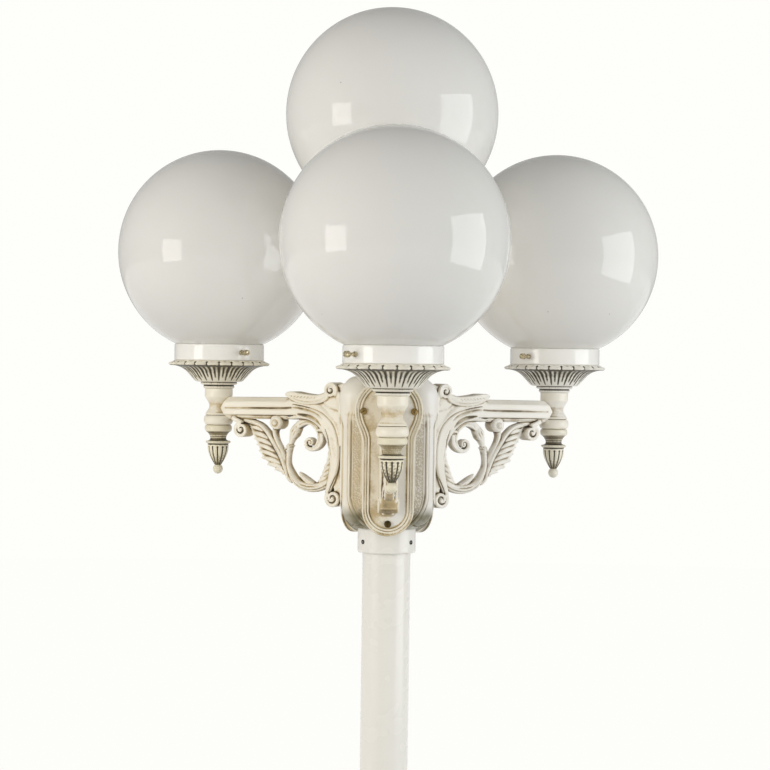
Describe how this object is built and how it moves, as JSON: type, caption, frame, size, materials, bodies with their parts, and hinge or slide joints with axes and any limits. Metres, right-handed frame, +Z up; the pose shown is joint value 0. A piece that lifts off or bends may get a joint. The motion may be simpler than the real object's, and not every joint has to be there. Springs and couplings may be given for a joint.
{
  "type": "candelabra street lamp",
  "caption": "Ornamental post lamp: scrolled cast arms and a central stem carry opal globes in fluted cups with thumb-screwed galleries, on a plain tube post with a base cover.",
  "frame": {"origin": "centre of the base plate's underside, on the post's axis", "axes": "+Z up along the post; -Y towards the front arm; the other two arms are at 120 degrees to it"},
  "size_m": [0.6632, 0.6079, 1.898],
  "materials": {
    "post_paint": "gloss off-white paint",
    "casting": "satin cream paint with antique gold and dark wash in the grooves",
    "gallery_white": "gloss white paint",
    "brass": "aged knurled brass",
    "screw_bronze": "bronzed screw heads",
    "screw_dark": "blackened steel",
    "zinc": "zinc plated",
    "base_steel": "painted steel plate",
    "opal": "glossy opal white",
    "bulb_white": "frosted white",
    "holder": "white moulded",
    "block_plastic": "natural nylon",
    "gasket": "white silicone"
  },
  "bodies": {
    "root": {"base_plate": "base_steel", "post_tube": "post_paint", "head_column": "casting", "sleeve_screws": "screw_dark", "head_cap": "casting", "top_stem": "casting", "terminal_block": "block_plastic", "arm_front": "casting", "arm_left": "casting", "arm_right": "casting", "arm_screws": "screw_bronze", "finial_front": "casting", "finial_left": "casting", "finial_right": "casting", "cup_front": "casting", "cup_left": "casting", "cup_right": "casting", "cup_top": "casting", "gallery_front": "gallery_white", "gallery_left": "gallery_white", "gallery_right": "gallery_white", "gallery_top": "gallery_white", "nipples": "zinc", "nipple_nuts": "zinc", "gallery_gaskets": "gasket", "holder_front": "holder", "holder_left": "holder", "holder_right": "holder", "holder_top": "holder", "bulb_front": "bulb_white", "bulb_left": "bulb_white", "bulb_right": "bulb_white", "bulb_top": "bulb_white"},
    "base_cover": {"base_cover": "post_paint", "base_cover_screws": "screw_dark"},
    "globe_front": {"globe_front": "opal"},
    "globe_left": {"globe_left": "opal"},
    "globe_right": {"globe_right": "opal"},
    "globe_top": {"globe_top": "opal"},
    "thumb_front_1": {"thumb_front_1": "brass"},
    "thumb_front_2": {"thumb_front_2": "brass"},
    "thumb_left_1": {"thumb_left_1": "brass"},
    "thumb_left_2": {"thumb_left_2": "brass"},
    "thumb_right_1": {"thumb_right_1": "brass"},
    "thumb_right_2": {"thumb_right_2": "brass"},
    "thumb_top_1": {"thumb_top_1": "brass"},
    "thumb_top_2": {"thumb_top_2": "brass"}
  },
  "joints": [
    {"name": "globe_front_lift", "type": "slide", "parent": "root", "child": "globe_front", "axis": [0, 0, 1], "range_m": [0, 0.05]},
    {"name": "globe_left_lift", "type": "slide", "parent": "root", "child": "globe_left", "axis": [0, 0, 1], "range_m": [0, 0.05]},
    {"name": "globe_right_lift", "type": "slide", "parent": "root", "child": "globe_right", "axis": [0, 0, 1], "range_m": [0, 0.05]},
    {"name": "globe_top_lift", "type": "slide", "parent": "root", "child": "globe_top", "axis": [0, 0, 1], "range_m": [0, 0.05]},
    {"name": "thumb_front_1_back_off", "type": "slide", "parent": "root", "child": "thumb_front_1", "axis": [-0.7431, -0.6691, 0], "range_m": [0, 0.004]},
    {"name": "thumb_front_2_back_off", "type": "slide", "parent": "root", "child": "thumb_front_2", "axis": [0.7431, 0.6691, 0], "range_m": [0, 0.004]},
    {"name": "thumb_left_1_back_off", "type": "slide", "parent": "root", "child": "thumb_left_1", "axis": [0.5299, -0.848, 0], "range_m": [0, 0.004]},
    {"name": "thumb_left_2_back_off", "type": "slide", "parent": "root", "child": "thumb_left_2", "axis": [-0.5299, 0.848, 0], "range_m": [0, 0.004]},
    {"name": "thumb_right_1_back_off", "type": "slide", "parent": "root", "child": "thumb_right_1", "axis": [-0.6428, -0.766, 0], "range_m": [0, 0.004]},
    {"name": "thumb_right_2_back_off", "type": "slide", "parent": "root", "child": "thumb_right_2", "axis": [0.6428, 0.766, 0], "range_m": [0, 0.004]},
    {"name": "thumb_top_1_back_off", "type": "slide", "parent": "root", "child": "thumb_top_1", "axis": [0.6428, -0.766, 0], "range_m": [0, 0.004]},
    {"name": "thumb_top_2_back_off", "type": "slide", "parent": "root", "child": "thumb_top_2", "axis": [-0.6428, 0.766, 0], "range_m": [0, 0.004]},
    {"name": "base_cover_slide", "type": "slide", "parent": "root", "child": "base_cover", "axis": [0, 0, 1], "range_m": [0, 0.15]}
  ]
}
